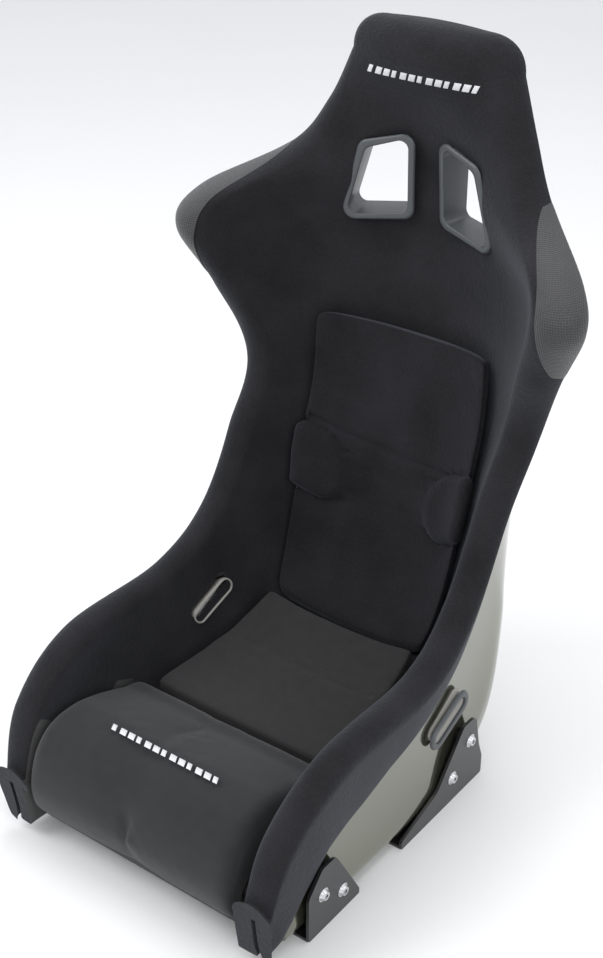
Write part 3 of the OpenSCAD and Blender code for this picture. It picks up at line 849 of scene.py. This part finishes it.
def build_back_cushion():
    """Loose back cushion, with a seam across it and a lumbar lobe sewn on each side."""
    obj, params = tray_pillow("back_cushion_cover", 3.93, BACK_TOP, 26, BACK_VELOUR,
                              rows=150, around=150)
    inflate(obj, 3.0, 0.004)
    t, x, v = params.T
    top = smooth_step(v * 2)
    inside = lobe_distance(t, x)
    lift = 9.0 * smooth_step((inside + 1) / 14) - 4.5 * groove(inside, 3.0)
    seam_t = 5.62 - 0.00045 * x
    seam = -5.0 * groove((t - seam_t) * ROW_LENGTH, 3.2) * (np.abs(x) < 126)
    push(obj, top * (lift + seam))
    return finish_piece(obj, ["back_cushion", "left_lumbar_lobe", "right_lumbar_lobe"])


def build_seat_cushion():
    """Loose seat cushion between the thigh cushion and the back cushion."""
    obj, _ = tray_pillow("seat_cushion_cover", SEAM + 0.01, SEAT_END, 46, SEAT_WEAVE,
                         rows=110, around=140)
    inflate(obj, 3.0, 0.004)
    return finish_piece(obj, ["seat_cushion"])


THIGH_SPINE = [[194, 109], [170, 112], [150, 117], [125, 124], [100, 128], [84, 130], [62, 128],
               [46, 120], [34, 108], [26, 92], [21, 76], [18, 60]]
THIGH_SPINE_IN = [[18, 56], [20, 60], [26, 88], [60, 118], [100, 125], [150, 115], [190, 108]]


def closed_spline(points, n):
    """Closed Catmull-Rom curve with n points for each given point."""
    p = np.asarray(points, float)
    f = np.linspace(0, 1, n, endpoint=False)[:, None]
    a, c, d = np.roll(p, 1, 0), np.roll(p, -1, 0), np.roll(p, -2, 0)
    out = []
    for k in range(len(p)):
        curve = p[k] + 0.5 * f * (c[k] - a[k] + f * (2 * a[k] - 5 * p[k] + 4 * c[k] - d[k]
                                                   + f * (3 * (p[k] - c[k]) + d[k] - a[k])))
        out.append(curve)
    return np.vstack(out)


def build_thigh_cushion():
    """Thick pad draped over the front of the pan, with rounded ends."""
    outline = closed_spline(THIGH_OUTER + THIGH_INNER, 7)
    spine = closed_spline(THIGH_SPINE + THIGH_SPINE_IN, 7)
    rings, uv = [], []
    length = np.concatenate([[0], np.cumsum(np.linalg.norm(np.diff(outline, axis=0), axis=1))])
    half, round_end = THIGH_HALF + THIGH_GROW, 26.0
    for k in np.linspace(-1, 1, 121):
        k = math.sin(k * math.pi / 2) * 0.55 + k * 0.45
        x = k * half
        d = max(abs(x) - (half - round_end), 0) / round_end
        keep = 1 - 0.62 * (1 - math.sqrt(max(1 - min(d, 1) ** 3.2, 0)))
        p = spine + (outline - spine) * keep
        rings.append(np.column_stack([np.full(len(p), x - THIGH_SHIFT), p[:, 0] - DEPTH / 2, p[:, 1]]))
        uv.append(np.column_stack([np.full(len(p), x), length]) * MM)
    obj = loft("thigh_cushion_cover", rings, THIGH_WEAVE, uv=np.concatenate(uv))
    inflate(obj, 3.0, 0.006)
    return finish_piece(obj, ["thigh_cushion"])


# ---------------------------------------------------------------------------
# Embroidered stripes
# ---------------------------------------------------------------------------

def dashes(name, surface, half, height, count, replaces):
    """A row of slanted satin-stitched dashes laid on a surface(x, up) in millimetres."""
    points, faces, uv = [], [], []
    pitch = 2 * half / count
    for i in range(count):
        start = -half + i * pitch
        width = pitch * (0.74 if i % 3 else 0.52)
        base = len(points)
        for a in np.linspace(0, 1, 9):
            for b in np.linspace(-0.5, 0.5, 6):
                x = start + a * width + (b + 0.5) * height * 0.5
                edge = min(a, 1 - a) * width
                rise = 0.35 + 0.9 * math.sqrt(min(edge / 1.5, 1)) * math.sqrt(max(1 - (2 * b) ** 4, 0.05))
                points.append(surface(x, b * height, rise))
                uv.append((x * MM, b * height * MM))
        for q in ring_faces(9, 6, closed=False):
            faces.append([base + j for j in q])
    obj = make_object(name, points, faces, WHITE_THREAD, uv)
    return finish_piece(obj, [replaces])


def thigh_surface(x, up, rise):
    y = 71 - up
    z = float(np.interp(y, [34, 58, 71, 84, 100], [163.5, 171.6, 172.6, 171.4, 168]))
    return [x, y - DEPTH / 2, z + rise + 2.5]


def head_surface(x, up, rise):
    t = 11.7 + up / 62.0
    s = station(t)
    f = share(s, abs(x))
    p = face(s, np.array([f]))
    p[:, 1] += rise
    q = place(s, p)[0]
    return [x, q[1], q[2]]


# ---------------------------------------------------------------------------
# CAD nodes that stay, with better materials
# ---------------------------------------------------------------------------

def repaint(names, material, smooth_angle=None):
    for name in names:
        obj = NODES[name]
        obj.data.materials.clear()
        obj.data.materials.append(material)
        if smooth_angle:
            obj.data.polygons.foreach_set("use_smooth", [True] * len(obj.data.polygons))
            sharpen(obj, smooth_angle)


# ---------------------------------------------------------------------------
# Stage
# ---------------------------------------------------------------------------

def build_stage():
    """Pale floor and an even, nearly white surround."""
    bpy.ops.mesh.primitive_plane_add(size=12, location=(0, 0, 0))
    floor = bpy.context.active_object
    floor.name = "stage_floor"
    n = Nodes("floor_white")
    tone = n.noise(n.coordinates(), 1.5, 2)
    n.set(Base_Color=n.mix(tone, grey(0.80), grey(0.84)), Roughness=0.6)
    floor.data.materials.append(n.material)

    world = bpy.data.worlds.new("studio")
    world.use_nodes = True
    world.node_tree.nodes["Background"].inputs["Color"].default_value = (0.95, 0.97, 1.0, 1)
    world.node_tree.nodes["Background"].inputs["Strength"].default_value = 0.9
    bpy.context.scene.world = world
    bpy.context.scene.view_settings.view_transform = "Standard"


def area_light(name, location, target, size, power, colour=(1, 1, 1)):
    light = bpy.data.lights.new(name, "AREA")
    light.energy = power
    light.size = size
    light.color = colour
    obj = bpy.data.objects.new(name, light)
    obj.location = location
    obj.rotation_euler = (Vector(target) - Vector(location)).to_track_quat("-Z", "Y").to_euler()
    bpy.context.scene.collection.objects.link(obj)


# Focal length and height of the picture, both in pixels, and the sensor's height in millimetres
FOCAL = 1600
IMAGE_HEIGHT = 958
SENSOR = 36
CAMERA_AT = Vector((995.2, -983.2, 1384.6))
CAMERA_FORWARD = Vector((-0.5204, 0.6892, -0.5042))


def build_camera():
    """Seen from the front, high on the occupant's left."""
    forward = CAMERA_FORWARD.normalized()
    right = Vector((0.7981, 0.6026, 0.0)).normalized()
    up = right.cross(forward)
    camera = bpy.data.cameras.new("camera")
    camera.sensor_fit = "VERTICAL"
    camera.sensor_height = SENSOR
    camera.lens = SENSOR * FOCAL / IMAGE_HEIGHT
    obj = bpy.data.objects.new("camera", camera)
    rotation = Matrix((right, up, -forward)).transposed().to_4x4()
    position = (CAMERA_AT - Vector((0, DEPTH / 2, 0))) * MM
    obj.matrix_world = Matrix.Translation(position) @ rotation
    bpy.context.scene.collection.objects.link(obj)
    bpy.context.scene.camera = obj


# ---------------------------------------------------------------------------
# Build
# ---------------------------------------------------------------------------

build_stage()
build_camera()
area_light("key", (-1.6, -1.6, 2.6), (0, 0, 0.4), 1.6, 42)
area_light("fill", (2.4, -1.2, 1.8), (0, 0, 0.4), 1.8, 24)
area_light("top", (0.0, 0.6, 2.8), (0, 0, 0.4), 2.2, 30)

build_shell()
build_cover()
for side, word in ((1, "left"), (-1, "right")):
    build_patch(side, word)
    shoulder_bezel(side, word)
    lap_bezel(side, word)
    lap_sleeve(side, word)
build_back_cushion()
build_seat_cushion()
build_thigh_cushion()
dashes("thigh_stripe", thigh_surface, 84, 9.5, 13, "thigh_badge")
dashes("head_stripe", head_surface, 79, 9, 13, "head_badge")

repaint(["left_edge_trim", "right_edge_trim"], RUBBER, 40)
repaint(["left_front_mount", "right_front_mount", "left_rear_mount", "right_rear_mount"], POWDER, 30)
repaint(["mount_bolts", "mount_washers"], ZINC, 40)
repaint(["mount_spacers"], POWDER, 40)
repaint(["mount_inserts"], ZINC, 40)
repaint(["left_shoulder_ring", "right_shoulder_ring"], BEZEL, 30)
